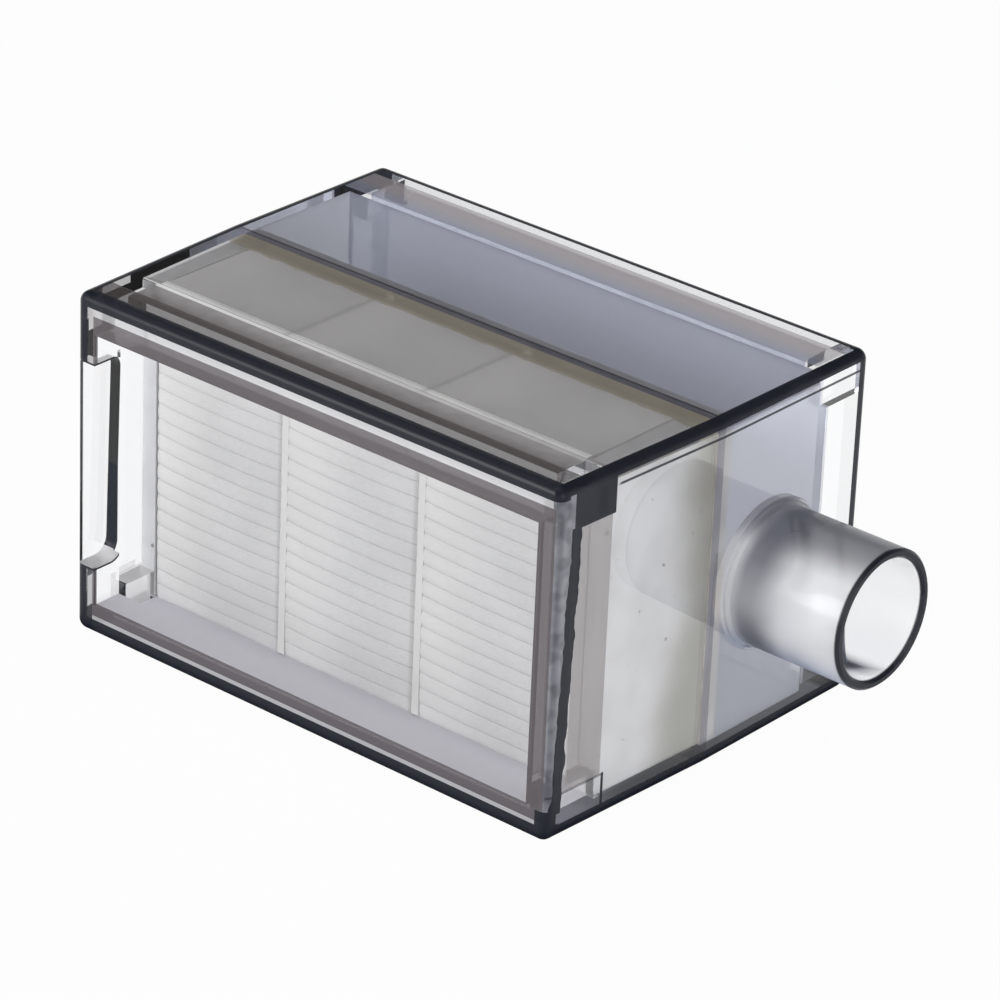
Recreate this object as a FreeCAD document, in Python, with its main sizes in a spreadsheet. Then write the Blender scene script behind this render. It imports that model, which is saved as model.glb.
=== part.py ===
import FreeCAD, Part
import math
import os
import Sketcher

os.makedirs("parts", exist_ok=True)
doc = FreeCAD.newDocument("inlet_filter")

# Driving dimensions in millimetres
# The box's own frame: X along its long side from the middle, Y back from the open front, Z up from its base.
DIMENSIONS = {
    # Box, widest where the two shells meet
    "box_length": 91.2,
    "box_height": 52.9,
    "front_depth": 32.5,
    "rear_depth": 31.9,
    "front_taper": 1.3,
    "rear_taper": 0.2,
    "corner_round": 1.6,
    "rim_round": 1.4,
    # Walls
    "wall": 2.6,
    # Rim round the open front: a high top rail, a lower bottom rail and a post at each end
    "rim_depth": 5.1,
    "top_rail": 5.8,
    "bottom_rail": 4.8,
    "post_width": 3.6,
    # Window in the left post
    "window_skin": 0.4,
    "window_height": 31.8,
    "window_depth": 5.7,
    "window_round": 2.4,
    # Corner stops inside the front rim and ribs behind the rear wall
    "stop_width": 2.6,
    "stop_height": 4.2,
    # Plenum and the wall that closes it
    "plenum_depth": 22.2,
    "rear_wall": 1.8,
    # Outlet spigot
    "spigot_reach": 19.4,
    "spigot_radius": 10.2,
    "spigot_wall": 1.35,
    "spigot_setback": 12.3,
    "spigot_height": 25.2,
    "collar_step": 0.5,
    "collar_reach": 0.9,
    "collar_bevel": 0.4,
    "lip_bevel": 0.35,
    # Filter pack
    "pack_setback": 10.9,
    "pack_clearance": 0.25,
    "card_thickness": 2.6,
    "paper": 0.5,
    "paper_clearance": 0.2,
    "pleat_count": 20,
    # Hot-melt separators
    "separator_spacing": 25.4,
    "separator_offset": 1.7,
    "separator_width": 1.2,
    "separator_skin": 0.3,
    "separator_reach": 14.0,
    "separator_clearance": 0.06,
    # Sealant bead
    "bead_depth": 3.0,
    "bead_width": 2.4,
    "bead_clearance": 0.15,
}

sheet = doc.addObject("Spreadsheet::Sheet", "dims")
for row, (alias, value) in enumerate(DIMENSIONS.items(), start=1):
    sheet.set(f"A{row}", alias)
    sheet.set(f"B{row}", str(value))
    sheet.setAlias(f"B{row}", alias)
doc.recompute()

# Expressions that several pieces share
FRONT_LENGTH = "(dims.box_length - 2 * dims.front_taper)"
REAR_LENGTH = "(dims.box_length - 2 * dims.rear_taper)"
BOX_DEPTH = "(dims.front_depth + dims.rear_depth)"
INNER_HEIGHT = "(dims.box_height - 2 * dims.wall)"
PLENUM_END = "(dims.front_depth + dims.plenum_depth)"
RECESS_START = "(dims.front_depth + dims.plenum_depth + dims.rear_wall)"
SPIGOT_Y = "(dims.front_depth + dims.spigot_setback)"
BORE_RADIUS = "(dims.spigot_radius - dims.spigot_wall)"


def front_shell_length(y):
    """Outer length of the front shell, y back from its front."""
    return f"(dims.box_length - 2 * dims.front_taper * (1 - {y} / dims.front_depth))"


def rear_shell_length(y):
    """Outer length of the rear shell, y back from the box's front."""
    return f"(dims.box_length - 2 * dims.rear_taper * ({y} - dims.front_depth) / dims.rear_depth)"


# Bodies, planes and profiles
def new_body(name):
    """A body in the box's frame, placed so that the part's origin is under the middle of its whole outline."""
    body = doc.addObject("PartDesign::Body", name)
    body.Label = name
    body.setExpression("Placement.Base.x", "-dims.spigot_reach / 2")
    body.setExpression("Placement.Base.y", f"-{BOX_DEPTH} / 2")
    return body


def attach(body, sketch, role):
    """Lays the sketch on one of its body's own origin planes."""
    plane = [item for item in body.Origin.OriginFeatures if item.Role == role][0]
    sketch.AttachmentSupport = [(plane, "")]
    sketch.MapMode = "FlatFace"


def cross_section(body, name, y, x="0", z="dims.box_height / 2"):
    """An empty sketch across the box, y back from its front, with its origin at x and z."""
    sketch = body.newObject("Sketcher::SketchObject", name)
    attach(body, sketch, "XZ_Plane")
    sketch.setExpression("AttachmentOffset.Base.x", x)
    sketch.setExpression("AttachmentOffset.Base.y", z)
    sketch.setExpression("AttachmentOffset.Base.z", f"-({y})")
    return sketch


def bind(sketch, constraint, expression):
    """Adds a sized constraint and ties it to an expression."""
    index = sketch.addConstraint(constraint)
    sketch.setExpression(f"Constraints[{index}]", expression)


def line(sketch, start, end):
    """Adds a straight edge and returns its number."""
    return sketch.addGeometry(Part.LineSegment(FreeCAD.Vector(*start, 0), FreeCAD.Vector(*end, 0)), False)


def centred_rectangle(sketch, width, height):
    """Adds a rectangle round the sketch's origin, its two sizes given as expressions."""
    corners = [(-5, -3), (5, -3), (5, 3), (-5, 3)]
    sides = [line(sketch, corners[i], corners[(i + 1) % 4]) for i in range(4)]
    for i in range(4):
        sketch.addConstraint(Sketcher.Constraint("Coincident", sides[i], 2, sides[(i + 1) % 4], 1))
    for i in (0, 2):
        sketch.addConstraint(Sketcher.Constraint("Horizontal", sides[i]))
        sketch.addConstraint(Sketcher.Constraint("Vertical", sides[i + 1]))
    sketch.addConstraint(Sketcher.Constraint("Symmetric", sides[0], 1, sides[2], 1, -1, 1))
    bind(sketch, Sketcher.Constraint("DistanceX", sides[0], 1, sides[0], 2, 10), width)
    bind(sketch, Sketcher.Constraint("DistanceY", sides[1], 1, sides[1], 2, 6), height)


def tapered_block(body, name, near, far, low, height, cut=False):
    """Adds or cuts a level block whose plan is a trapezoid; near and far are its ends as (y, length)."""
    sketch = body.newObject("Sketcher::SketchObject", f"{name}_plan")
    attach(body, sketch, "XY_Plane")
    sketch.setExpression("AttachmentOffset.Base.y", near[0])
    sketch.setExpression("AttachmentOffset.Base.z", low)
    corners = [(-5, 0), (5, 0), (6, 7), (-6, 7)]
    sides = [line(sketch, corners[i], corners[(i + 1) % 4]) for i in range(4)]
    for i in range(4):
        sketch.addConstraint(Sketcher.Constraint("Coincident", sides[i], 2, sides[(i + 1) % 4], 1))
    sketch.addConstraint(Sketcher.Constraint("Horizontal", sides[0]))
    sketch.addConstraint(Sketcher.Constraint("Symmetric", sides[0], 1, sides[0], 2, -1, 1))
    sketch.addConstraint(Sketcher.Constraint("Symmetric", sides[2], 1, sides[2], 2, -2))
    bind(sketch, Sketcher.Constraint("DistanceX", sides[0], 1, sides[0], 2, 10), near[1])
    bind(sketch, Sketcher.Constraint("DistanceX", sides[2], 2, sides[2], 1, 12), far[1])
    bind(sketch, Sketcher.Constraint("DistanceY", sides[1], 1, sides[1], 2, 7), f"{far[0]} - {near[0]}")
    doc.recompute()
    before = body.Shape.Volume if body.Tip else 0.0
    feature = body.newObject("PartDesign::Pocket" if cut else "PartDesign::Pad", name)
    feature.Profile = sketch
    feature.Reversed = cut
    feature.setExpression("Length", height)
    doc.recompute()
    check_change(body, name, before, not cut)


def check_change(body, name, before, grows):
    """Stops the build when a feature left its body's volume as it was or changed it the wrong way."""
    change = body.Shape.Volume - before
    if (change <= 0.0) if grows else (change >= 0.0):
        raise RuntimeError(f"{body.Label}: {name} did not change the solid as it should")


def edge_break(body, name, kind, amount, wanted):
    """Fillets or chamfers the edges of the body's tip for which wanted(edge) is true."""
    base = body.Tip
    edges = [f"Edge{i}" for i, edge in enumerate(base.Shape.Edges, start=1) if wanted(edge)]
    if not edges:
        raise RuntimeError(f"{body.Label}: {name} found no edge to break")
    feature = body.newObject(f"PartDesign::{kind}", name)
    feature.Base = (base, edges)
    feature.setExpression("Radius" if kind == "Fillet" else "Size", amount)
    doc.recompute()


def corner_ribs(body, name, start, end, outer_length):
    """Four ribs in the box's inner corners, along Y from start to end, fused into the walls beside them."""
    for side in (-1, 1):
        for level in ("low", "high"):
            rib = body.newObject("PartDesign::AdditiveBox", f"{name}_{level}_{'left' if side < 0 else 'right'}")
            inner_face = f"({outer_length} / 2 - dims.wall)"
            rib.setExpression("Length", "dims.stop_width + dims.wall / 2")
            rib.setExpression("Width", f"{end} - {start}")
            rib.setExpression("Height", "dims.stop_height + dims.wall / 2")
            near = f"{inner_face} - dims.stop_width"
            far = f"-{inner_face} - dims.wall / 2"
            rib.setExpression("Placement.Base.x", near if side > 0 else far)
            rib.setExpression("Placement.Base.y", start)
            top = "dims.box_height - dims.wall - dims.stop_height"
            rib.setExpression("Placement.Base.z", "dims.wall / 2" if level == "low" else top)
            doc.recompute()


def along_y(edge):
    """True for a straight edge that runs from front to back."""
    run = edge.Vertexes[-1].Point - edge.Vertexes[0].Point
    return abs(run.y) > 0.9 * edge.Length


def across_y(edge, y):
    """True for an edge that lies in the plane y back from the front."""
    return abs(edge.BoundBox.YMin - y) < 0.01 and abs(edge.BoundBox.YMax - y) < 0.01


def across_x(edge, x):
    """True for an edge that lies in the plane at x."""
    return abs(edge.BoundBox.XMin - x) < 0.01 and abs(edge.BoundBox.XMax - x) < 0.01


def size(alias):
    """A driving dimension as a number."""
    return float(getattr(sheet, alias))


# Front shell: a clear moulded sleeve, open at both ends, that narrows towards its thick front rim
front_shell = new_body("front_shell")
INLET_LENGTH = f"({FRONT_LENGTH} - 2 * dims.post_width)"
SEAT_LENGTH = f"({front_shell_length('dims.rim_depth')} - 2 * dims.wall)"
tapered_block(front_shell, "front_outside", ("0", FRONT_LENGTH), ("dims.front_depth", "dims.box_length"),
              "0", "dims.box_height")
edge_break(front_shell, "front_long_corners", "Fillet", "dims.corner_round", along_y)
edge_break(front_shell, "front_rim_edge", "Fillet", "dims.rim_round", lambda edge: across_y(edge, 0.0))
tapered_block(front_shell, "pack_seat", ("dims.rim_depth", SEAT_LENGTH),
              ("dims.front_depth", "(dims.box_length - 2 * dims.wall)"), "dims.wall", INNER_HEIGHT, cut=True)
tapered_block(front_shell, "inlet", ("0", INLET_LENGTH), ("dims.rim_depth", INLET_LENGTH),
              "dims.bottom_rail", "dims.box_height - dims.bottom_rail - dims.top_rail", cut=True)
corner_ribs(front_shell, "pack_stop", "dims.rim_depth", "dims.pack_setback", front_shell_length("dims.rim_depth"))

# The window in the left end wall: cut from inside down to a thin skin, open at the front, with round corners
window = front_shell.newObject("Sketcher::SketchObject", "window_outline")
attach(front_shell, window, "YZ_Plane")
window.setExpression("AttachmentOffset.Base.y", "dims.box_height / 2")
window.setExpression("AttachmentOffset.Base.z", f"-({FRONT_LENGTH} / 2 - dims.post_width)")
low_edge = line(window, (0, -8), (4, -8))
low_corner = window.addGeometry(
    Part.ArcOfCircle(Part.Circle(FreeCAD.Vector(4, -6, 0), FreeCAD.Vector(0, 0, 1), 2), -math.pi / 2, 0), False)
back_edge = line(window, (6, -6), (6, 6))
high_corner = window.addGeometry(
    Part.ArcOfCircle(Part.Circle(FreeCAD.Vector(4, 6, 0), FreeCAD.Vector(0, 0, 1), 2), 0, math.pi / 2), False)
high_edge = line(window, (4, 8), (0, 8))
mouth = line(window, (0, 8), (0, -8))
chain = [low_edge, low_corner, back_edge, high_corner, high_edge]
for first, second in zip(chain, chain[1:]):
    window.addConstraint(Sketcher.Constraint("Tangent", first, 2, second, 1))
window.addConstraint(Sketcher.Constraint("Coincident", high_edge, 2, mouth, 1))
window.addConstraint(Sketcher.Constraint("Coincident", mouth, 2, low_edge, 1))
window.addConstraint(Sketcher.Constraint("Horizontal", low_edge))
window.addConstraint(Sketcher.Constraint("Horizontal", high_edge))
window.addConstraint(Sketcher.Constraint("Vertical", mouth))
window.addConstraint(Sketcher.Constraint("Symmetric", mouth, 1, mouth, 2, -1, 1))
window.addConstraint(Sketcher.Constraint("Equal", low_corner, high_corner))
bind(window, Sketcher.Constraint("DistanceY", mouth, 2, mouth, 1, 16), "dims.window_height")
bind(window, Sketcher.Constraint("DistanceX", -1, 1, back_edge, 1, 6), "dims.window_depth")
bind(window, Sketcher.Constraint("Radius", low_corner, 2), "dims.window_round")
doc.recompute()
volume = front_shell.Shape.Volume
window_cut = front_shell.newObject("PartDesign::Pocket", "window")
window_cut.Profile = window
window_cut.setExpression("Length", "dims.post_width - dims.window_skin")
doc.recompute()
check_change(front_shell, "window", volume, False)

# Rear shell: a clear moulded cover with the plenum, the rear wall set in from the back, and the outlet spigot
rear_shell = new_body("rear_shell")
tapered_block(rear_shell, "rear_outside", ("dims.front_depth", "dims.box_length"), (BOX_DEPTH, REAR_LENGTH),
              "0", "dims.box_height")
box_depth = size("front_depth") + size("rear_depth")
edge_break(rear_shell, "rear_long_corners", "Fillet", "dims.corner_round", along_y)
edge_break(rear_shell, "rear_rim_edge", "Fillet", "dims.rim_round", lambda edge: across_y(edge, box_depth))
tapered_block(rear_shell, "plenum", ("dims.front_depth", "(dims.box_length - 2 * dims.wall)"),
              (PLENUM_END, f"({rear_shell_length(PLENUM_END)} - 2 * dims.wall)"), "dims.wall", INNER_HEIGHT, cut=True)
tapered_block(rear_shell, "rear_recess", (RECESS_START, f"({rear_shell_length(RECESS_START)} - 2 * dims.wall)"),
              (BOX_DEPTH, f"({REAR_LENGTH} - 2 * dims.wall)"), "dims.wall", INNER_HEIGHT, cut=True)
corner_ribs(rear_shell, "rear_rib", RECESS_START, BOX_DEPTH, REAR_LENGTH)


def tube_circle(name, x, radius):
    """A circle round the spigot's axis, in the plane at x."""
    sketch = rear_shell.newObject("Sketcher::SketchObject", name)
    attach(rear_shell, sketch, "YZ_Plane")
    sketch.setExpression("AttachmentOffset.Base.x", SPIGOT_Y)
    sketch.setExpression("AttachmentOffset.Base.y", "dims.spigot_height")
    sketch.setExpression("AttachmentOffset.Base.z", x)
    index = sketch.addGeometry(Part.Circle(FreeCAD.Vector(0, 0, 0), FreeCAD.Vector(0, 0, 1), 5), False)
    sketch.addConstraint(Sketcher.Constraint("Coincident", index, 3, -1, 1))
    bind(sketch, Sketcher.Constraint("Radius", index, 5), radius)
    return sketch


def tube_step(name, kind, start, radius, length):
    """Adds a round length of the spigot from start outwards, or cuts one from start inwards."""
    profile = tube_circle(f"{name}_circle", start, radius)
    doc.recompute()
    before = rear_shell.Shape.Volume
    feature = rear_shell.newObject(f"PartDesign::{kind}", name)
    feature.Profile = profile
    feature.setExpression("Length", length)
    doc.recompute()
    check_change(rear_shell, name, before, kind == "Pad")


SPIGOT_ROOT = f"({rear_shell_length(SPIGOT_Y)} / 2 - dims.wall / 2)"
COLLAR_END = "(dims.box_length / 2 + dims.collar_reach)"
SPIGOT_END = "(dims.box_length / 2 + dims.spigot_reach)"
tube_step("spigot_collar", "Pad", SPIGOT_ROOT, "dims.spigot_radius + dims.collar_step", f"{COLLAR_END} - {SPIGOT_ROOT}")
tube_step("spigot_tube", "Pad", SPIGOT_ROOT, "dims.spigot_radius", f"{SPIGOT_END} - {SPIGOT_ROOT}")
tube_step("spigot_bore", "Pocket", SPIGOT_END, BORE_RADIUS, "dims.spigot_reach + dims.rear_taper + 2 * dims.wall")
collar_end = size("box_length") / 2 + size("collar_reach")
spigot_end = size("box_length") / 2 + size("spigot_reach")
edge_break(rear_shell, "collar_bevel", "Chamfer", "dims.collar_bevel", lambda edge: (
    across_x(edge, collar_end) and edge.Curve.Radius > size("spigot_radius") + size("collar_step") / 2))
edge_break(rear_shell, "lip_bevel", "Chamfer", "dims.lip_bevel", lambda edge: across_x(edge, spigot_end))

# Side cards: stiff white card that seals the pleat ends; its outer face follows the tapered end wall
PACK_LOW = "(dims.wall + dims.pack_clearance)"
PACK_HEIGHT = f"({INNER_HEIGHT} - 2 * dims.pack_clearance)"
PACK_DEPTH = "(dims.front_depth - dims.pack_setback)"
CARD_FRONT_OUTER = f"({front_shell_length('dims.pack_setback')} / 2 - dims.wall - dims.pack_clearance)"
CARD_REAR_OUTER = "(dims.box_length / 2 - dims.wall - dims.pack_clearance)"
CARD_INNER = f"({CARD_FRONT_OUTER} - dims.card_thickness)"


def side_card(name, turned):
    """One card; the left one is the right one turned over about the box's middle."""
    body = new_body(name)
    if turned:
        body.Placement.Rotation = FreeCAD.Rotation(FreeCAD.Vector(0, 1, 0), 180)
        body.setExpression("Placement.Base.z", "dims.box_height")
    sketch = body.newObject("Sketcher::SketchObject", f"{name}_outline")
    attach(body, sketch, "XY_Plane")
    sketch.setExpression("AttachmentOffset.Base.z", PACK_LOW)
    front = line(sketch, (30, 10), (33, 10))
    outer = line(sketch, (33, 10), (34, 30))
    rear = line(sketch, (34, 30), (30, 30))
    inner = line(sketch, (30, 30), (30, 10))
    sides = [front, outer, rear, inner]
    for i in range(4):
        sketch.addConstraint(Sketcher.Constraint("Coincident", sides[i], 2, sides[(i + 1) % 4], 1))
    sketch.addConstraint(Sketcher.Constraint("Horizontal", front))
    sketch.addConstraint(Sketcher.Constraint("Horizontal", rear))
    sketch.addConstraint(Sketcher.Constraint("Vertical", inner))
    bind(sketch, Sketcher.Constraint("DistanceX", -1, 1, front, 1, 30), CARD_INNER)
    bind(sketch, Sketcher.Constraint("DistanceY", -1, 1, front, 1, 10), "dims.pack_setback")
    bind(sketch, Sketcher.Constraint("DistanceX", front, 1, front, 2, 3), "dims.card_thickness")
    bind(sketch, Sketcher.Constraint("DistanceX", rear, 2, rear, 1, 4), f"{CARD_REAR_OUTER} - {CARD_INNER}")
    bind(sketch, Sketcher.Constraint("DistanceY", inner, 2, inner, 1, 20), PACK_DEPTH)
    doc.recompute()
    card = body.newObject("PartDesign::Pad", f"{name}_sheet")
    card.Profile = sketch
    card.setExpression("Length", PACK_HEIGHT)
    doc.recompute()
    return body


side_card_right = side_card("side_card_right", False)
side_card_left = side_card("side_card_left", True)

# Pleated media: one sheet folded back and forth, its folds along X, made as one closed outline carried along X
inner_height = size("box_height") - 2 * size("wall")
pack_low = size("wall") + size("pack_clearance")
pack_height = inner_height - 2 * size("pack_clearance")
leg_count = 2 * int(size("pleat_count"))
leg_step = (pack_height - size("paper")) / (leg_count - 1)
fold_reach = (leg_step + size("paper")) / 2
paper_set_in = size("separator_skin") + 2 * size("separator_clearance")
front_bend = size("pack_setback") + paper_set_in + fold_reach
rear_bend = size("front_depth") - paper_set_in - fold_reach
rear_edge = rear_bend
card_inner = (
    size("box_length") / 2
    - size("front_taper") * (1 - size("pack_setback") / size("front_depth"))
    - size("wall") - size("pack_clearance") - size("card_thickness")
)
media_end = card_inner - size("paper_clearance")


def at(y, z):
    """A point of the media's left end."""
    return FreeCAD.Vector(-media_end, y, z)


def sheet_face(side):
    """One face of the sheet: each fold is a half round on its outside and square on its inside.

    side is -1 for the face that starts below and 1 for the one that starts above.
    """
    edges = []
    here_y = rear_edge
    for leg in range(leg_count):
        to_front = leg % 2 == 0
        facing = side if to_front else -side
        here_z = pack_low + size("paper") / 2 + leg * leg_step + facing * size("paper") / 2
        if leg + 1 == leg_count:
            edges.append(Part.LineSegment(at(here_y, here_z), at(rear_edge, here_z)).toShape())
            break
        next_z = here_z + leg_step - facing * size("paper")
        radius = (next_z - here_z) / 2
        bend = front_bend if to_front else rear_bend
        tip = bend - radius if to_front else bend + radius
        if facing < 0:
            edges.append(Part.LineSegment(at(here_y, here_z), at(bend, here_z)).toShape())
            edges.append(Part.Arc(at(bend, here_z), at(tip, here_z + radius), at(bend, next_z)).toShape())
            here_y = bend
        else:
            edges.append(Part.LineSegment(at(here_y, here_z), at(tip, here_z)).toShape())
            edges.append(Part.LineSegment(at(tip, here_z), at(tip, next_z)).toShape())
            here_y = tip
    return edges


under, over = sheet_face(-1), sheet_face(1)
caps = [
    Part.LineSegment(under[0].Vertexes[0].Point, over[0].Vertexes[0].Point).toShape(),
    Part.LineSegment(under[-1].Vertexes[-1].Point, over[-1].Vertexes[-1].Point).toShape(),
]
outline = Part.Wire(Part.sortEdges(under + over + caps)[0])
pleated_media = doc.addObject("Part::Feature", "pleated_media")
pleated_media.Label = "pleated_media"
pleated_media.Shape = Part.Face(outline).extrude(FreeCAD.Vector(2 * media_end, 0, 0))
pleated_media.Placement = FreeCAD.Placement(
    FreeCAD.Vector(-size("spigot_reach") / 2, -box_depth / 2, 0), FreeCAD.Rotation())

# Separators: a line of hot-melt glue over the fold tips, with a tongue down into each open pleat
LEG_STEP = f"(({PACK_HEIGHT} - dims.paper) / (2 * dims.pleat_count - 1))"
PAPER_SET_IN = "(dims.separator_skin + 2 * dims.separator_clearance)"
TONGUE_HEIGHT = f"({LEG_STEP} - dims.paper - 2 * dims.separator_clearance)"


def separator(name, x, at_front):
    """One glue line centred at x, on the front folds or on the rear folds."""
    body = new_body(name)
    left = f"{x} - dims.separator_width / 2"
    front_skin = "(dims.pack_setback + dims.separator_clearance)"
    rear_skin = "(dims.front_depth - dims.separator_clearance)"
    tongue_length = "(dims.separator_skin + dims.separator_reach)"
    skin = body.newObject("PartDesign::AdditiveBox", f"{name}_line")
    skin.setExpression("Length", "dims.separator_width")
    skin.setExpression("Width", "dims.separator_skin")
    skin.setExpression("Height", PACK_HEIGHT)
    skin.setExpression("Placement.Base.x", left)
    skin.setExpression("Placement.Base.y", front_skin if at_front else f"{rear_skin} - dims.separator_skin")
    skin.setExpression("Placement.Base.z", PACK_LOW)
    doc.recompute()
    tongue = body.newObject("PartDesign::AdditiveBox", f"{name}_tongue")
    tongue.setExpression("Length", "dims.separator_width")
    tongue.setExpression("Width", tongue_length)
    tongue.setExpression("Height", TONGUE_HEIGHT)
    tongue.setExpression("Placement.Base.x", left)
    tongue.setExpression("Placement.Base.y", front_skin if at_front else f"{rear_skin} - {tongue_length}")
    first_gap = 1.5 if at_front else 0.5
    first_middle = f"{PACK_LOW} + dims.paper / 2 + {first_gap} * {LEG_STEP}"
    tongue.setExpression("Placement.Base.z", f"{first_middle} - {TONGUE_HEIGHT} / 2")
    doc.recompute()
    missing = 1 if at_front else 0
    pattern = body.newObject("PartDesign::LinearPattern", f"{name}_tongues")
    pattern.Originals = [tongue]
    upright = [item for item in body.Origin.OriginFeatures if item.Role == "Z_Axis"][0]
    pattern.Direction = (upright, [""])
    pattern.setExpression("Occurrences", f"dims.pleat_count - {missing}")
    pattern.setExpression("Length", f"2 * {LEG_STEP} * (dims.pleat_count - {missing + 1})")
    body.Tip = pattern
    doc.recompute()
    return body


separators = []
for place, at_front in (("front", True), ("rear", False)):
    for side, sign in (("left", "-"), ("right", "+")):
        x = f"(-dims.separator_offset {sign} dims.separator_spacing / 2)"
        separators.append(separator(f"separator_{place}_{side}", x, at_front))

# Sealant bead: tan adhesive round the pack's rear edge, in the mouth of the plenum
sealant_bead = new_body("sealant_bead")
bead_outline = cross_section(sealant_bead, "bead_outline", "dims.front_depth")
BEAD_LENGTH = "(dims.box_length - 2 * dims.wall - 2 * dims.bead_clearance)"
BEAD_HEIGHT = f"({INNER_HEIGHT} - 2 * dims.bead_clearance)"
centred_rectangle(bead_outline, BEAD_LENGTH, BEAD_HEIGHT)
centred_rectangle(bead_outline, f"{BEAD_LENGTH} - 2 * dims.bead_width", f"{BEAD_HEIGHT} - 2 * dims.bead_width")
doc.recompute()
bead = sealant_bead.newObject("PartDesign::Pad", "bead")
bead.Profile = bead_outline
bead.Reversed = True
bead.setExpression("Length", "dims.bead_depth")
doc.recompute()

# Every object is checked before any piece is written
pieces = [front_shell, rear_shell, pleated_media, side_card_left, side_card_right, sealant_bead] + separators
doc.recompute()
for item in doc.Objects:
    if any(word in item.State for word in ("Invalid", "Error")):
        raise RuntimeError(f"{item.Label} failed: {item.State}")
for piece in pieces:
    if piece.Shape.isNull() or not piece.Shape.isValid():
        raise RuntimeError(f"{piece.Label} has no valid shape")
for piece in pieces:
    piece.Shape.exportStep(f"parts/{piece.Label}.step")
    box = piece.Shape.BoundBox
    print(f"{piece.Label}: {piece.Shape.Volume:.1f} mm3, {len(piece.Shape.Solids)} solid, {len(piece.Shape.Faces)} faces,"
          f" x {box.XMin:.2f} {box.XMax:.2f}, y {box.YMin:.2f} {box.YMax:.2f}, z {box.ZMin:.2f} {box.ZMax:.2f}")
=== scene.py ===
import math
import bpy
import numpy as np
from mathutils import Matrix, Vector


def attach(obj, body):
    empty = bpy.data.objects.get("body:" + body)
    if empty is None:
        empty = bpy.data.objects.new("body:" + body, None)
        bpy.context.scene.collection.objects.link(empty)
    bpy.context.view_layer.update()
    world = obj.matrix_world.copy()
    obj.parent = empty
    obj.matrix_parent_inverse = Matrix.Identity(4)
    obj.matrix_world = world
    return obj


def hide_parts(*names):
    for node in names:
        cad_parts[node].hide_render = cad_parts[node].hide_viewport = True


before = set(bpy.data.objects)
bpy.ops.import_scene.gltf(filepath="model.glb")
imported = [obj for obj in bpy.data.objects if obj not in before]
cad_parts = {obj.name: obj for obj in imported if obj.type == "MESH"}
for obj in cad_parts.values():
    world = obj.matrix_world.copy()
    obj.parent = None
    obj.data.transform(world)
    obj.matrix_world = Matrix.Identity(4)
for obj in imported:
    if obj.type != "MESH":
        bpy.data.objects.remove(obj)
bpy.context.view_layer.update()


# Camera: stands to the right and in front of the box and looks down on it with a long lens.
# The heading, the height and the roll were solved from the box's corners in the photograph.
def aim_camera():
    """Places the camera on the line through the target at the given heading, height and distance."""
    heading, height, roll = (math.radians(angle) for angle in (39.931, 26.341, 2.441))
    distance = 0.73382
    target = Vector((-0.001914, -0.0009, 0.027802))
    level = math.cos(height)
    look = Vector((-math.sin(heading) * level, math.cos(heading) * level, -math.sin(height)))
    right = Vector((math.cos(heading), math.sin(heading), 0.0))
    up = right.cross(look)
    rolled_right = math.cos(roll) * right + math.sin(roll) * up
    rolled_up = math.cos(roll) * up - math.sin(roll) * right
    camera = bpy.data.objects.new("camera", bpy.data.cameras.new("camera"))
    camera.data.lens = 189.409
    camera.data.clip_start = 0.01
    axes = Matrix((rolled_right, rolled_up, -look)).transposed()
    camera.matrix_world = Matrix.Translation(target - look * distance) @ axes.to_4x4()
    bpy.context.collection.objects.link(camera)
    bpy.context.scene.camera = camera


aim_camera()
bpy.context.scene.view_settings.view_transform = "Standard"


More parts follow.
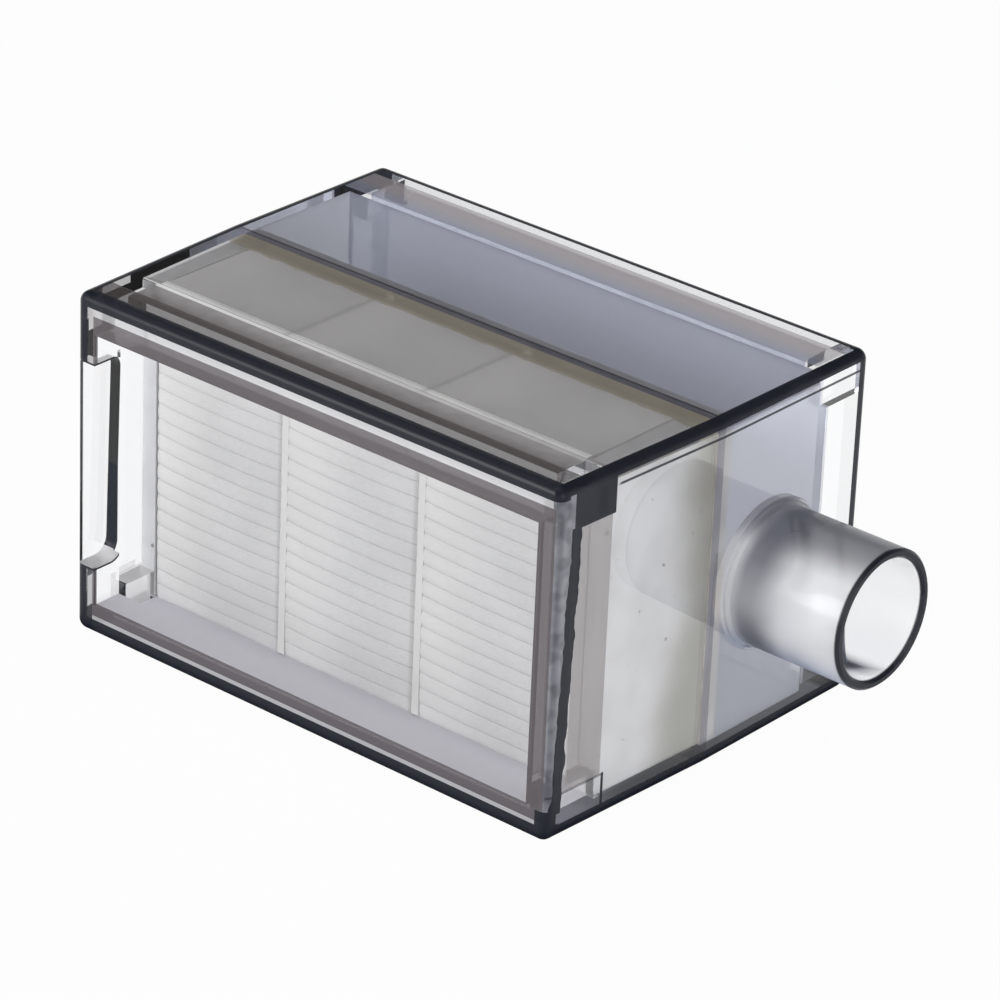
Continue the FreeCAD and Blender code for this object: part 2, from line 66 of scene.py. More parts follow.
# Room: a white sweep round a pale table, dim overhead, with a cool fill. To the camera it is plain white,
# while gloss and clear plastic see the white sweep low down and the dim room above it.
class Tree:
    """The node tree of a material or a world, with short ways to add, link and combine nodes."""

    def __init__(self, owner):
        owner.use_nodes = True
        self.tree = owner.node_tree
        self.tree.nodes.clear()

    def add(self, kind, **settings):
        """Adds a node; settings named after sockets are set as values, the others as properties."""
        node = self.tree.nodes.new(kind)
        for key, value in settings.items():
            socket = key.replace("_", " ")
            if socket in node.inputs:
                node.inputs[socket].default_value = value
            else:
                setattr(node, key, value)
        return node

    def join(self, source, target):
        """Links an output socket to an input socket, or sets the input where the source is a number."""
        if isinstance(source, (int, float)):
            target.default_value = source
        else:
            self.tree.links.new(source, target)

    def sum(self, operation, first, second=0.0):
        """The result of a sum of one or two numbers or sockets."""
        node = self.add("ShaderNodeMath", operation=operation)
        self.join(first, node.inputs[0])
        self.join(second, node.inputs[1])
        return node.outputs[0]

    def plus(self, first, second):
        """First and second together."""
        return self.sum("ADD", first, second)

    def minus(self, first, second):
        """First less second."""
        return self.sum("SUBTRACT", first, second)

    def times(self, first, second):
        """First by second."""
        return self.sum("MULTIPLY", first, second)

    def divided(self, first, second):
        """First in parts of second."""
        return self.sum("DIVIDE", first, second)

    def larger(self, first, second):
        """The larger of the two."""
        return self.sum("MAXIMUM", first, second)

    def smaller(self, first, second):
        """The smaller of the two."""
        return self.sum("MINIMUM", first, second)

    def size(self, value):
        """The value without its sign."""
        return self.sum("ABSOLUTE", value)

    def root(self, value):
        """The value's square root."""
        return self.sum("SQRT", value)

    def ramp(self, value, low, high, start=0.0, end=1.0):
        """Carries the value from low..high to start..end, smoothly and held at both ends."""
        node = self.add("ShaderNodeMapRange", interpolation_type="SMOOTHSTEP",
                        From_Min=low, From_Max=high, To_Min=start, To_Max=end)
        self.join(value, node.inputs["Value"])
        return node.outputs["Result"]

    def within(self, value, limit):
        """One where the value lies below the limit, zero where it lies above."""
        return self.sum("LESS_THAN", value, limit)

    def band(self, value, low, high):
        """One where the value lies between low and high."""
        node = self.add("ShaderNodeMath", operation="COMPARE")
        self.join(value, node.inputs[0])
        node.inputs[1].default_value = (low + high) / 2
        node.inputs[2].default_value = (high - low) / 2
        return node.outputs[0]

    def all_of(self, *shares):
        """The product of shares."""
        result = shares[0]
        for share in shares[1:]:
            result = self.times(result, share)
        return result

    def any_of(self, *shares):
        """The largest of shares."""
        result = shares[0]
        for share in shares[1:]:
            result = self.larger(result, share)
        return result

    def place(self):
        """The X, Y and Z of the point in the part's own frame, in metres."""
        node = self.add("ShaderNodeSeparateXYZ")
        self.join(self.add("ShaderNodeTexCoord").outputs["Object"], node.inputs[0])
        return node.outputs["X"], node.outputs["Y"], node.outputs["Z"]

    def facing(self):
        """The X, Y and Z of the way the surface faces, in the part's own frame."""
        node = self.add("ShaderNodeSeparateXYZ")
        self.join(self.add("ShaderNodeTexCoord").outputs["Normal"], node.inputs[0])
        return node.outputs["X"], node.outputs["Y"], node.outputs["Z"]

    def noise(self, scale, detail=3.0, roughness=0.55, stretch=(1, 1, 1)):
        """Noise in the part's own frame; scale counts features per metre."""
        mapping = self.add("ShaderNodeMapping")
        mapping.inputs["Scale"].default_value = stretch
        self.join(self.add("ShaderNodeTexCoord").outputs["Object"], mapping.inputs["Vector"])
        node = self.add("ShaderNodeTexNoise", Scale=scale, Detail=detail, Roughness=roughness)
        self.join(mapping.outputs[0], node.inputs["Vector"])
        return node.outputs["Fac"]

    def blend(self, share, first, second):
        """A colour between first and second, by the share."""
        node = self.add("ShaderNodeMix", data_type="RGBA")
        self.join(share, node.inputs[0])
        for colour, target in ((first, node.inputs[6]), (second, node.inputs[7])):
            if isinstance(colour, tuple):
                target.default_value = (*colour, 1.0)
            else:
                self.join(colour, target)
        return node.outputs[2]

    def mix(self, share, first, second):
        """One shader over another, by the share of the second."""
        node = self.add("ShaderNodeMixShader")
        self.join(share, node.inputs[0])
        self.join(first.outputs[0], node.inputs[1])
        self.join(second.outputs[0], node.inputs[2])
        return node

    def bump(self, height, distance, strength=1.0):
        """A normal raised by the height, over the distance in metres."""
        node = self.add("ShaderNodeBump", Distance=distance, Strength=strength)
        self.join(height, node.inputs["Height"])
        return node.outputs["Normal"]

    def end(self, shader, kind="ShaderNodeOutputMaterial"):
        """Ends the tree in the shader."""
        self.join(shader.outputs[0], self.add(kind).inputs["Surface"])


def make_room():
    """The world, by the kind of ray that sees it."""
    world = bpy.data.worlds.new("room")
    bpy.context.scene.world = world
    world.cycles.sampling_method = "NONE"
    room = Tree(world)
    split = room.add("ShaderNodeSeparateXYZ")
    room.join(room.add("ShaderNodeTexCoord").outputs["Generated"], split.inputs[0])
    up = split.outputs["Z"]
    path = room.add("ShaderNodeLightPath")
    seen = room.larger(path.outputs["Is Glossy Ray"], path.outputs["Is Transmission Ray"])
    fill = room.add("ShaderNodeBackground", Color=(0.90, 0.94, 1.0, 1.0))
    room.join(room.ramp(up, -0.1, 0.9, 0.62, 0.22), fill.inputs["Strength"])
    shown = room.add("ShaderNodeBackground")
    room.join(room.ramp(up, 0.10, 0.40, 1.0, 0.10), shown.inputs["Color"])
    white = room.add("ShaderNodeBackground", Color=(1.0, 1.0, 1.0, 1.0))
    whole = room.mix(path.outputs["Is Camera Ray"], room.mix(seen, fill, shown), white)
    room.end(whole, "ShaderNodeOutputWorld")


make_room()


# Table: a pale top, level with the box's underside, where the box keeps its shadow. Seen through the plastic,
# the top
# is painted with shade: darker under the box's footprint and near-black in a thin line along its border, a
# painted shadow under the round edges. Three soft lamps stand round it, in front, to the right and overhead.
def make_table():
    """A square table top whose colour follows the distance from the box's footprint."""
    half = 4.0
    middle, half_length, half_depth = -0.0097, 0.0446, 0.0322
    mesh = bpy.data.meshes.new("table")
    corners = [(-half, -half, 0), (half, -half, 0), (half, half, 0), (-half, half, 0)]
    mesh.from_pydata(corners, [], [(0, 1, 2, 3)])
    table = bpy.data.objects.new("table", mesh)
    bpy.context.collection.objects.link(table)
    material = bpy.data.materials.new("pale table")
    top = Tree(material)
    x, y, z = top.place()
    # Distance outside the box's footprint, negative under it
    across = top.minus(top.size(top.minus(x, middle)), half_length)
    along = top.minus(top.size(y), half_depth)
    outside = top.larger(across, along)
    # Painted shadow: near-black along the footprint's border and blue-grey under the footprint, seen only by
    # gloss and clear plastic
    painted_contact_shadow = top.ramp(top.size(top.plus(outside, 0.0004)), 0.0012, 0.0030, 0.03, 1.0)
    path = top.add("ShaderNodeLightPath")
    seen = top.larger(path.outputs["Is Glossy Ray"], path.outputs["Is Transmission Ray"])
    beyond = top.times(seen, top.ramp(outside, 0.0015, 0.006))
    share = top.times(top.larger(beyond, path.outputs["Is Camera Ray"]), 0.96)
    open_view = top.minus(1.0, seen)
    darkened = top.larger(painted_contact_shadow, open_view)
    lit = top.larger(top.ramp(outside, 0.0, 0.004), open_view)
    paint = top.add("ShaderNodeBsdfDiffuse")
    shaded = top.blend(lit, (0.42, 0.43, 0.49), (0.84, 0.84, 0.86))
    top.join(top.blend(darkened, (0.01, 0.01, 0.014), shaded), paint.inputs["Color"])
    glow = top.add("ShaderNodeEmission", Color=(1.0, 1.0, 1.0, 1.0), Strength=1.0)
    top.end(top.mix(share, paint, glow))
    material.cycles.emission_sampling = "NONE"
    mesh.materials.append(material)


make_table()


def soft_lamp(name, place, size, power):
    """A square area lamp that faces the box's middle and that the camera doesn't see."""
    data = bpy.data.lights.new(name, "AREA")
    data.size = size
    data.energy = power
    lamp = bpy.data.objects.new(name, data)
    lamp.visible_camera = False
    lamp.location = place
    aim = Vector((-0.01, 0, 0.025)) - Vector(place)
    lamp.rotation_euler = aim.to_track_quat("-Z", "Y").to_euler()
    bpy.context.collection.objects.link(lamp)


soft_lamp("front lamp", (-0.45, -0.85, 0.35), 0.45, 5.5)
soft_lamp("right lamp", (0.9, -0.25, 0.30), 0.7, 3.6)
soft_lamp("top lamp", (0.0, -0.25, 1.0), 0.8, 2.0)


# Front shell: a moulded clear styrene sleeve, open at both ends, with thick rails and posts round its front.
# Its outer edges and ledges carry painted dark, a painted reflection of the dark of a room, the rim's inner
# margin carries a painted brown-grey shade, and matte bloom lies on its ceiling and floor, with painted shade
# on the ceiling. It is bonded to the rear shell at the joint, round the pack's rear edge.
def dress(node, material):
    """Puts a material on a node of the frame."""
    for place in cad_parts[node].material_slots:
        place.material = material


def clear_styrene(tree, roughness, layers):
    """Refracting plastic with further shaders laid over it, each by its own share of the surface."""
    seen = tree.add("ShaderNodeBsdfPrincipled", Base_Color=(0.98, 0.983, 0.992, 1), IOR=1.5,
                    Transmission_Weight=1.0)
    tree.join(roughness, seen.inputs["Roughness"])
    for share, shader in layers:
        seen = tree.mix(share, seen, shader)
    film = tree.add("ShaderNodeBsdfTransparent", Color=(0.96, 0.96, 0.97, 1))
    tree.end(tree.mix(tree.add("ShaderNodeLightPath").outputs["Is Shadow Ray"], seen, film))


def painted_dark_edge(tree):
    """Near-black blue, painted on an edge or ledge as a painted reflection of the dark of a room."""
    return tree.add("ShaderNodeBsdfPrincipled", Base_Color=(0.012, 0.014, 0.022, 1), Roughness=0.3, IOR=1.5,
                    Specular_IOR_Level=0.15)


def bloom(tree, colour):
    """Matte bloom on a moulded face, lit from both sides."""
    front = tree.add("ShaderNodeBsdfDiffuse")
    back = tree.add("ShaderNodeBsdfTranslucent")
    for side in (front, back):
        tree.join(colour, side.inputs["Color"])
    return tree.mix(0.45, front, back)


def weld(tree, y):
    """The share of the surface in the joint between the shells, and its clear, slightly grey bond."""
    square = tree.ramp(tree.size(tree.facing()[1]), 0.88, 0.92)
    share = tree.times(square, tree.band(y, 0.0002, 0.0004))
    return share, tree.add("ShaderNodeBsdfTransparent", Color=(0.62, 0.62, 0.66, 1))


def front_plastic():
    """The front shell's plastic, its edges found from the box's own sizes."""
    material = bpy.data.materials.new("clear styrene front")
    tree = Tree(material)
    x, y, z = tree.place()
    up = tree.facing()[2]
    # Distances in from the box's ends, which spread with the taper, from its front and from its top
    middle, half_length, taper, front, height, half_height = -0.0097, 0.0443, 0.04, -0.0322, 0.0529, 0.02645
    away = tree.size(tree.minus(x, middle))
    deep = tree.minus(y, front)
    side = tree.minus(tree.plus(half_length, tree.times(deep, taper)), away)
    top = tree.minus(height, z)
    on_right = tree.ramp(x, 0.0, 0.001)
    on_left = tree.minus(1.0, on_right)
    surface = tree.within(tree.smaller(side, tree.smaller(z, top)), 0.0008)
    # The window's outline in the left wall, as a distance from its rounded rectangle
    past = tree.larger(tree.minus(deep, 0.0033), 0.0)
    from_middle = tree.size(tree.minus(z, half_height))
    beyond = tree.larger(tree.minus(from_middle, 0.0135), 0.0)
    reach = tree.root(tree.plus(tree.times(past, past), tree.times(beyond, beyond)))
    turned = tree.within(tree.size(up), 0.6)
    frame_line = tree.all_of(tree.band(reach, 0.0021, 0.0027), on_left, turned,
                             tree.band(side, 0.0009, 0.0045), tree.within(z, 0.0429))
    sill = tree.all_of(tree.band(reach, 0.0021, 0.0026), on_left, tree.minus(1.0, turned))
    solid_post = tree.minus(1.0, tree.band(z, 0.0104, 0.0425))
    upper = tree.larger(on_right, tree.ramp(up, 0.3, 0.5))
    # Painted dark: the outer edges, the front rim's edges and the window's outline carry a painted reflection
    # of the room's dark
    edges = [
        tree.times(tree.within(tree.minus(tree.larger(side, top), tree.times(on_left, 0.0006)), 0.0014),
                   tree.times(surface, upper)),
        tree.times(tree.within(tree.larger(side, z), 0.0023), surface),
        tree.within(tree.larger(deep, top), 0.0019),
        tree.within(tree.larger(deep, z), 0.0025),
        tree.all_of(tree.within(tree.larger(deep, side), 0.0022), on_left, solid_post),
        tree.all_of(tree.within(tree.larger(deep, side), 0.0020), on_right, tree.within(z, 0.0048)),
        frame_line,
    ]
    # On the right wall, painted dark: the ledge behind the post, the pack stop above it and the line of the
    # ceiling
    outer = tree.times(tree.within(side, 0.0006), on_right)
    mottle = tree.noise(420.0, 1.0)
    lean = tree.minus(tree.plus(deep, tree.times(tree.minus(mottle, 0.5), 0.001)), tree.times(z, 0.042))
    ledge = tree.all_of(outer, tree.band(lean, 0.0006, 0.0026), tree.band(z, 0.0040, 0.0465))
    stop = tree.all_of(outer, tree.band(deep, 0.0030, 0.0110), tree.band(z, 0.0462, 0.0515))
    ceiling_line = tree.all_of(outer, tree.band(z, 0.0500, 0.0504), tree.ramp(deep, 0.0110, 0.0120))
    low_stop = tree.all_of(outer, tree.any_of(
        tree.all_of(tree.band(deep, 0.0107, 0.0112), tree.within(z, 0.0071)),
        tree.all_of(tree.within(deep, 0.0112), tree.band(z, 0.0067, 0.0071), 0.6)))
    strip = tree.all_of(outer, tree.ramp(lean, 0.0024, 0.0028), tree.within(deep, 0.0104),
                        tree.band(z, 0.0070, 0.0462))
    # The rim's front face: a painted brown-grey shade on its inner margin, pale outer margin, mottled grey
    # right corner
    on_front = tree.within(deep, 0.0012)
    high = tree.minus(z, 0.0471)
    low = tree.times(tree.minus(0.0048, z), 1.7)
    post = tree.times(tree.minus(away, 0.0407), tree.plus(1.0, tree.times(on_left, 9.0)))
    margin = tree.larger(tree.larger(high, low), post)
    brown = tree.all_of(tree.within(margin, 0.0028), on_front, tree.within(deep, 0.0006))
    pale_rail = tree.all_of(tree.ramp(margin, 0.0027, 0.0029), on_front, tree.within(post, 0.0029))
    shelf = tree.all_of(tree.band(deep, 0.0018, 0.0054), tree.within(top, 0.0004),
                        tree.ramp(side, 0.0012, 0.0016))
    corner = tree.any_of(tree.all_of(tree.within(tree.larger(deep, side), 0.0012), on_right),
                         tree.all_of(outer, tree.within(lean, 0.0006), tree.within(z, 0.0500)),
                         tree.all_of(outer, tree.within(deep, 0.0030), tree.band(z, 0.0462, 0.0515)))
    # Inside: the ceiling, the floor of the recess, the top of the bottom rail and the pale left stops
    level = tree.ramp(tree.size(up), 0.88, 0.92)
    ceiling = tree.all_of(level, tree.band(z, 0.0501, 0.0505), tree.ramp(side, 0.0024, 0.0026))
    floor = tree.all_of(level, tree.band(z, 0.0024, 0.0050), tree.within(deep, 0.0120))
    stops = tree.all_of(on_left, tree.within(side, 0.0054), tree.within(z, 0.0498),
                        tree.band(deep, 0.0053, 0.0111), tree.ramp(from_middle, 0.0192, 0.0194))
    # Painted highlight: a bright white line is painted along the pack's front edge on the ceiling, strongest
    # at its left end
    gleam = tree.all_of(ceiling, tree.band(deep, 0.0104, 0.0112), tree.ramp(x, -0.05, 0.03, 1.0, 0.3))
    smear = tree.all_of(ceiling, tree.ramp(tree.plus(deep, tree.times(mottle, 0.0012)), 0.0288, 0.0298))
    joint_line = tree.all_of(tree.within(top, 0.0006), tree.ramp(deep, 0.0320, 0.0322))
    share = tree.any_of(
        tree.times(ceiling, tree.ramp(deep, 0.0112, 0.0120, 0.88, 0.45)), tree.times(shelf, 0.75),
        tree.times(smear, 0.8), tree.times(sill, 0.8),
        tree.times(floor, 0.9), tree.times(stops, 0.7), tree.times(strip, 0.7),
        tree.times(pale_rail, 0.6), tree.times(corner, 0.85))
    # Painted shade: the bloom on the ceiling and the top shelf is a mottled grey that darkens to brown-grey
    # towards the front
    colour = tree.blend(tree.ramp(mottle, 0.3, 0.7), (0.33, 0.315, 0.31), (0.38, 0.365, 0.36))
    colour = tree.blend(tree.ramp(deep, 0.0045, 0.0108), (0.12, 0.105, 0.102), colour)
    colour = tree.blend(smear, colour, (0.36, 0.33, 0.26))
    colour = tree.blend(gleam, colour, (1.0, 1.0, 1.0))
    colour = tree.blend(floor, colour, (0.93, 0.91, 0.96))
    colour = tree.blend(tree.any_of(pale_rail, stops, sill), colour, (0.92, 0.91, 0.91))
    colour = tree.blend(strip, colour, (0.40, 0.37, 0.365))
    speckled = tree.blend(tree.ramp(mottle, 0.35, 0.65), (0.20, 0.205, 0.235), (0.34, 0.345, 0.38))
    colour = tree.blend(corner, colour, speckled)
    shade = tree.add("ShaderNodeBsdfPrincipled", Base_Color=(0.105, 0.090, 0.096, 1), Roughness=0.3, IOR=1.5,
                     Specular_IOR_Level=0.3)
    # Painted dark: the edges, the right wall's ledge, stops and ceiling line, and the joint line on the top
    painted_dark = tree.any_of(*edges, ledge, stop, low_stop, tree.times(ceiling_line, 0.9),
                       tree.times(joint_line, 0.7))
    clear_styrene(tree, tree.plus(0.015, tree.times(mottle, 0.02)), [
        (share, bloom(tree, colour)),
        (tree.times(brown, 0.85), shade),
        (tree.times(painted_dark, 0.98), painted_dark_edge(tree)),
        weld(tree, y),
    ])
    return material


dress("front_shell", front_plastic())


# Rear shell: a moulded clear styrene cover with the plenum, a rear wall set in from its back, and the outlet
# spigot on its right end. The plenum's faces have a cool bloom painted with shade, and the spigot is frosted
# and painted with shade, with a painted dark lip; the outer edges are painted dark too.
def rear_plastic():
    """The rear shell's plastic, its edges, plenum and spigot found from the box's own sizes."""
    material = bpy.data.materials.new("clear styrene rear")
    tree = Tree(material)
    x, y, z = tree.place()
    # Distances in from the box's ends, back and top, and the place across the spigot's axis
    middle, half_length, half_depth, height, axis_y, axis_z = -0.0097, 0.0455, 0.0322, 0.0529, 0.0126, 0.0252
    side = tree.minus(half_length, tree.size(tree.minus(x, middle)))
    back = tree.minus(half_depth, y)
    top = tree.minus(height, z)
    shell = tree.smaller(side, tree.smaller(z, top))
    on_left = tree.within(x, 0.0)
    off_y = tree.minus(y, axis_y)
    off_z = tree.minus(z, axis_z)
    spread = tree.root(tree.plus(tree.times(off_y, off_y), tree.times(off_z, off_z)))
    tube = tree.times(tree.within(spread, 0.0112), tree.ramp(x, 0.0325, 0.0333))
    lip = tree.ramp(x, 0.0545, 0.0549)
    on_box = tree.within(x, 0.0360)
    upper = tree.minus(1.0, tree.times(on_left, tree.ramp(tree.facing()[2], 0.3, 0.5, 1.0, 0.0)))
    edges = [
        tree.times(tree.within(tree.minus(tree.larger(side, top), tree.times(on_left, 0.0006)), 0.0014),
                   tree.times(tree.within(shell, 0.0008), upper)),
        tree.times(tree.within(tree.larger(side, z), 0.0023), tree.within(shell, 0.0008)),
        tree.within(tree.larger(back, top), 0.0019),
        tree.within(tree.larger(back, z), 0.0020),
        tree.within(tree.larger(back, side), 0.0022),
        tree.times(tree.all_of(tree.within(side, 0.0006), tree.band(z, 0.0500, 0.0504)), 0.9),
    ]
    # Painted dark: the outer edges and the spigot's lip carry a painted reflection of the room's dark
    painted_dark = tree.any_of(tree.all_of(tree.any_of(*edges), on_box, tree.minus(1.0, tube)), lip)
    inner = tree.all_of(tree.ramp(shell, 0.0022, 0.0025), on_box, tree.minus(1.0, tube))
    hollow = tree.all_of(inner, tree.within(y, 0.0248))
    overhead = tree.all_of(inner, tree.ramp(z, 0.0495, 0.0502), tree.ramp(back, 0.0026, 0.0034))
    roof = tree.all_of(tree.within(top, 0.0004), tree.band(back, 0.0036, 0.0101),
                       tree.ramp(side, 0.0014, 0.0018))
    # The side of the tube that faces the room's back is left clear
    frost = tree.times(tube, tree.ramp(tree.minus(off_y, tree.times(off_z, 0.6)), -0.002, 0.004, 0.62, 0.06))
    share = tree.any_of(
        tree.times(hollow, 0.55), tree.times(overhead, 0.62),
        tree.times(roof, 0.6), frost)
    # Painted shade: the plenum's ceiling and the roof strip above it are painted a dark cool grey-blue,
    # darkest beside the pack, its other faces a pale cool blue, and the hollow behind the rear wall is
    # warmer. The tube is painted with shade at its root, its top and its underside, which is bluish
    ceiling = tree.blend(tree.ramp(y, 0.0, 0.020), (0.25, 0.27, 0.34), (0.40, 0.42, 0.50))
    colour = tree.blend(overhead, (0.74, 0.77, 0.86), ceiling)
    warm = tree.times(tree.larger(roof, overhead), tree.ramp(y, 0.0235, 0.0260))
    colour = tree.blend(warm, tree.blend(roof, colour, (0.36, 0.38, 0.46)), (0.46, 0.42, 0.43))
    tone = tree.blend(tree.ramp(off_z, -0.0085, -0.0020), (0.50, 0.55, 0.66), (0.97, 0.97, 0.98))
    tone = tree.blend(tree.ramp(off_z, 0.0070, 0.0101), tone, (0.20, 0.20, 0.23))
    rim = tree.times(tree.ramp(x, 0.0362, 0.0385), tree.ramp(x, 0.0400, 0.0455, 1.0, 0.0))
    ends = tree.ramp(tree.size(tree.minus(off_z, 0.001)), 0.0, 0.008, 0.45, 0.9)
    tone = tree.blend(tree.times(rim, ends), tone, (0.16, 0.165, 0.20))
    colour = tree.blend(tube, colour, tone)
    roughness = tree.larger(tree.times(frost, 0.2), 0.03)
    clear_styrene(tree, tree.plus(roughness, tree.times(tree.noise(900.0, 0.0), 0.01)), [
        (share, bloom(tree, colour)),
        (tree.times(painted_dark, 0.98), painted_dark_edge(tree)),
        weld(tree, y),
    ])
    return material


dress("rear_shell", rear_plastic())


# Pleated media: one long sheet of white filter paper folded back and forth, its folds pressed close together.
# Between the glue lines the folds swell forward, so each panel is a shallow pillow with faint soft grooves.
def folded_sheet():
    """Builds the sheet as its two faces, each a grid along the fold path and across the width.

    Leg i lies at height low + i * step. A fold's outside is the parabola
    y = tip + reach * s^2, z = middle + half * s, with s from -1 to 1; beyond it the leg runs at
    z = leg +- paper / 2, spread outwards by swell * exp(-(distance / fade)^2) next to the fold.
    """
    low, step, paper = 0.0031, 0.0467 / 39, 0.0005
    front_tip, rear_tip = -0.02088, -0.00012
    swell, fade = 0.00036, 0.0022
    legs = 40

    def leg_points(index, forward):
        """Heights of both faces of a leg, and how far each point is from the front and rear folds."""
        span = rear_tip - front_tip
        t = np.array([0.06, 0.14, 0.30, 0.50, 0.70, 0.86, 0.94])
        t = t if not forward else t[::-1]
        y = front_tip + span * t
        sign = 1.0 if index % 2 else -1.0
        near = np.exp(-((y - front_tip) / fade) ** 2) - np.exp(-((rear_tip - y) / fade) ** 2)
        z = low + index * step + sign * swell * near
        return y, z

    path_a, path_b = [], []
    half_out = step + 0.00002
    half_in = half_out - paper
    s = np.linspace(-1, 1, 11)
    for leg in range(legs):
        forward = leg % 2 == 0
        y, z = leg_points(leg, forward)
        side = -1.0 if forward else 1.0
        kind = np.zeros_like(y)
        path_a.append(np.stack([y, z + side * paper / 2, kind], 1))
        path_b.append(np.stack([y, z - side * paper / 2, kind], 1))
        if leg + 1 == legs:
            break
        middle = low + (leg + 0.5) * step
        half_a, half_b = (half_out, half_in) if forward else (half_in, half_out)
        tip = front_tip if forward else rear_tip
        turn = 1.0 if forward else -1.0
        inset_a, inset_b = (0.0, paper) if forward else (paper, 0.0)
        for path, half, inset in ((path_a, half_a, inset_a), (path_b, half_b, inset_b)):
            rise = middle + half * s
            deep = turn * s * s
            path.append(np.stack([np.full_like(rise, tip + turn * inset), rise, deep], 1))
    return np.concatenate(path_a), np.concatenate(path_b)


def pleated_sheet():
    """Carries both faces of the folded sheet across the width and closes them into one solid sheet."""
    face_a, face_b = folded_sheet()
    seams = [-0.0487, -0.0241, 0.0013, 0.0293]
    columns, swelling = [], []
    for left, right in zip(seams, seams[1:]):
        s = 0.5 - 0.5 * np.cos(np.linspace(0, math.pi, 23))
        columns.append(left + (right - left) * s)
        swelling.append(0.0003 + 0.0006 * (1 - np.abs(2 * s - 1) ** 3.0))
    x = np.concatenate(columns)
    pillow = np.concatenate(swelling)
    across = np.concatenate([0.5 - 0.5 * np.cos(np.linspace(0, math.pi, 23))] * 3)
    points = []
    for face in (face_a, face_b):
        y, z, deep = face[:, 0][:, None], face[:, 1][:, None], face[:, 2][:, None]
        front = np.clip((-0.006 - y) / 0.0149, 0, 1)
        middle = np.exp(-((z - 0.0240) / 0.016) ** 2)
        groove = 0.00003 + 0.00016 * middle * (1 - 0.8 * across[None, :])
        ends = np.sin(np.clip((z - 0.00285) / 0.0472, 0, 1) * math.pi) ** 0.35
        moved = y + deep * groove - pillow[None, :] * front * ends
        points.append(np.stack([np.broadcast_to(x, moved.shape), moved, np.broadcast_to(z, moved.shape)], 2))
    count, width = points[0].shape[:2]
    grid = np.arange(count * width).reshape(count, width)
    other = grid + count * width

    def quads(a, b, c, d):
        """Four-cornered faces from four arrays of vertex numbers."""
        return np.stack([a, b, c, d], -1).reshape(-1, 4)

    faces = [
        quads(grid[:-1, :-1], grid[:-1, 1:], grid[1:, 1:], grid[1:, :-1]),
        quads(other[:-1, :-1], other[1:, :-1], other[1:, 1:], other[:-1, 1:]),
        quads(grid[:-1, 0], grid[1:, 0], other[1:, 0], other[:-1, 0]),
        quads(grid[:-1, -1], other[:-1, -1], other[1:, -1], grid[1:, -1]),
        quads(grid[0, :-1], other[0, :-1], other[0, 1:], grid[0, 1:]),
        quads(grid[-1, :-1], grid[-1, 1:], other[-1, 1:], other[-1, :-1]),
    ]
    mesh = bpy.data.meshes.new("pleated_sheet")
    verts = np.concatenate([p.reshape(-1, 3) for p in points])
    mesh.from_pydata(verts.tolist(), [], np.concatenate(faces).tolist())
    mesh.polygons.foreach_set("use_smooth", np.ones(len(mesh.polygons), dtype=bool))
    mesh.update()
    sheet = bpy.data.objects.new("pleated_sheet", mesh)
    bpy.context.collection.objects.link(sheet)
    material = bpy.data.materials.new("filter paper")
    tree = Tree(material)
    fibres = tree.noise(2600.0, 2.0, 0.6, (0.5, 1.0, 1.6))
    cloud = tree.noise(90.0, 1.0)
    tone = tree.plus(tree.times(fibres, 0.5), tree.times(cloud, 0.5))
    paint = tree.add("ShaderNodeBsdfPrincipled", Roughness=0.9, Sheen_Weight=0.15)
    colour = tree.blend(tree.ramp(tone, 0.35, 0.65), (0.79, 0.785, 0.78), (0.85, 0.845, 0.84))
    # Painted light and shade: each panel is painted paler beside the glue line at its left, a painted
    # highlight, and greyer towards its right, with a painted dark crease shade just left of each glue line
    x = tree.place()[0]
    for seam, width in zip(seams, np.diff(seams)):
        run = tree.divided(tree.minus(x, seam + 0.0007), float(width))
        seam_highlight = tree.times(tree.ramp(run, -0.03, 0.0), tree.ramp(run, 0.05, 0.55, 0.45, 0.0))
        colour = tree.blend(tree.times(seam_highlight, tree.ramp(run, 0.9, 1.0, 1.0, 0.0)), colour, (0.98, 0.97, 0.955))
        crease_shade = tree.times(tree.ramp(run, -0.085, -0.055), tree.ramp(run, -0.05, -0.03, 0.5, 0.0))
        colour = tree.blend(crease_shade, colour, (0.50, 0.49, 0.48))
    tree.join(colour, paint.inputs["Base Color"])
    tree.join(tree.bump(fibres, 0.00006, 0.5), paint.inputs["Normal"])
    glow = tree.add("ShaderNodeBsdfTranslucent")
    tree.join(colour, glow.inputs["Color"])
    tree.end(tree.mix(0.35, paint, glow))
    mesh.materials.append(material)
    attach(sheet, "root")
    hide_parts("pleated_media")


pleated_sheet()
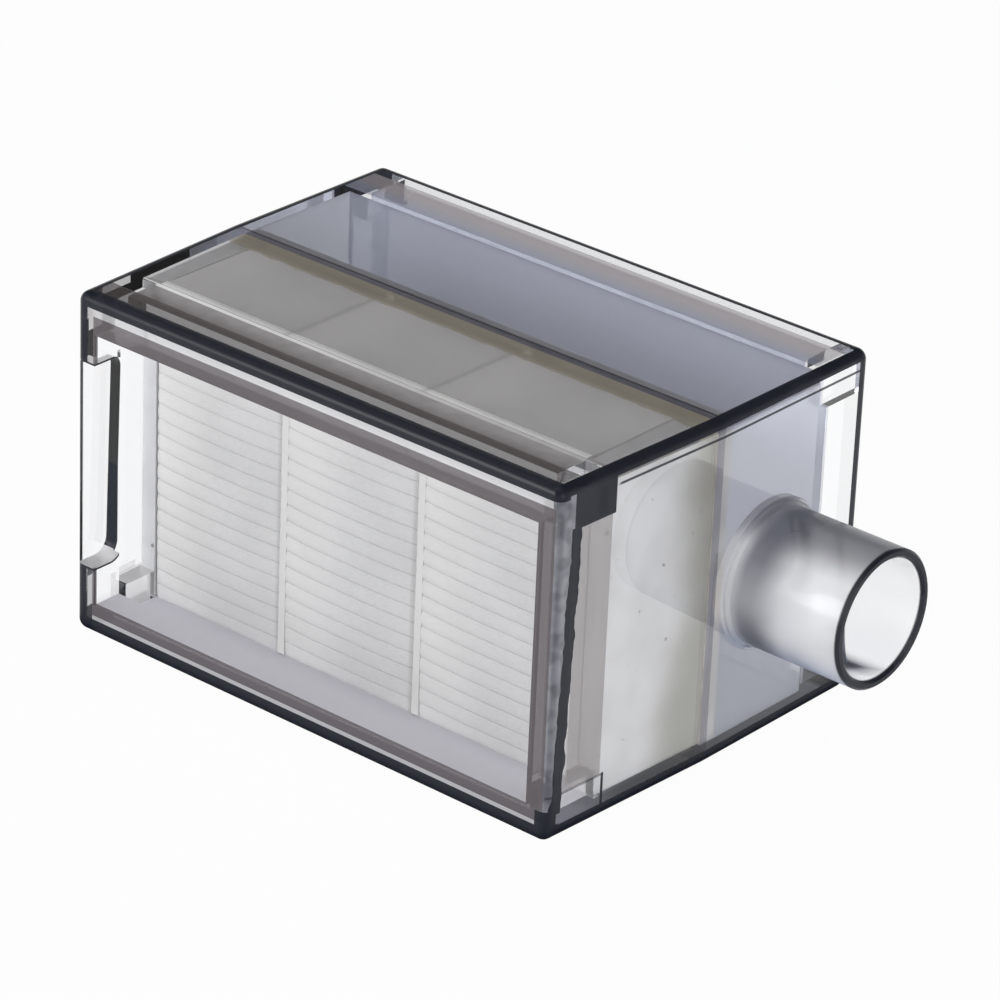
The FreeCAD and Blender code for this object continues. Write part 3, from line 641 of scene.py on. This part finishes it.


# Side cards: stiff white card, cut to the end walls' taper, glued over the pleat ends.
# The card is faintly mottled, with a few specks, and grows darker and olive towards its rear margin.
def white_card():
    """Matte card with soft mottling, specks and a darker rear margin."""
    material = bpy.data.materials.new("white card")
    tree = Tree(material)
    x, y, z = tree.place()
    cloud = tree.noise(120.0, 2.0)
    base = tree.blend(tree.ramp(cloud, 0.35, 0.65), (0.50, 0.50, 0.505), (0.56, 0.56, 0.565))
    # Darker, olive towards the rear margin, reaching further forward low down
    wave = tree.times(tree.minus(tree.noise(60.0, 1.0, 0.5, (1.0, 0.2, 1.0)), 0.5), 0.012)
    reach = tree.minus(tree.plus(y, wave), tree.times(z, 0.10))
    rear_darkening = tree.ramp(reach, -0.0130, -0.0035, 0.0, 0.85)
    rear_darkened = tree.blend(rear_darkening, base, (0.235, 0.23, 0.19))
    specks = tree.ramp(tree.noise(700.0, 0.0), 0.80, 0.84)
    colour = tree.blend(specks, rear_darkened, (0.25, 0.24, 0.24))
    paint = tree.add("ShaderNodeBsdfPrincipled", Roughness=0.85)
    tree.join(colour, paint.inputs["Base Color"])
    tree.join(tree.bump(tree.noise(1500.0, 1.0), 0.00003, 0.12), paint.inputs["Normal"])
    tree.end(paint)
    return material


card = white_card()
dress("side_card_left", card)
dress("side_card_right", card)


# Separators: thin lines of white hot-melt glue across the folds, waxy and a little uneven.
def hot_melt():
    """Waxy glue with slow unevenness along its length."""
    material = bpy.data.materials.new("hot melt")
    tree = Tree(material)
    uneven = tree.noise(500.0, 2.0, 0.5, (1.0, 1.0, 0.6))
    paint = tree.add("ShaderNodeBsdfPrincipled", Roughness=0.45, IOR=1.45)
    tree.join(tree.blend(uneven, (0.60, 0.592, 0.58), (0.66, 0.652, 0.64)), paint.inputs["Base Color"])
    tree.join(tree.bump(uneven, 0.00015, 0.6), paint.inputs["Normal"])
    tree.end(paint)
    return material


glue = hot_melt()
for side in ("left", "right"):
    for level in ("front", "rear"):
        dress(f"separator_{level}_{side}", glue)


# Sealant bead: tan adhesive run round the pack's rear edge, dull, with slow waves where it was laid.
def tan_sealant():
    """Dull adhesive, tan with darker and paler runs."""
    material = bpy.data.materials.new("tan sealant")
    tree = Tree(material)
    runs = tree.noise(160.0, 3.0, 0.6, (0.5, 1.0, 1.0))
    paint = tree.add("ShaderNodeBsdfPrincipled", Roughness=0.55, IOR=1.5)
    colour = tree.blend(tree.ramp(runs, 0.3, 0.7), (0.30, 0.27, 0.22), (0.50, 0.46, 0.40))
    tree.join(colour, paint.inputs["Base Color"])
    tree.join(tree.bump(runs, 0.0003, 0.5), paint.inputs["Normal"])
    tree.end(paint)
    return material


dress("sealant_bead", tan_sealant())
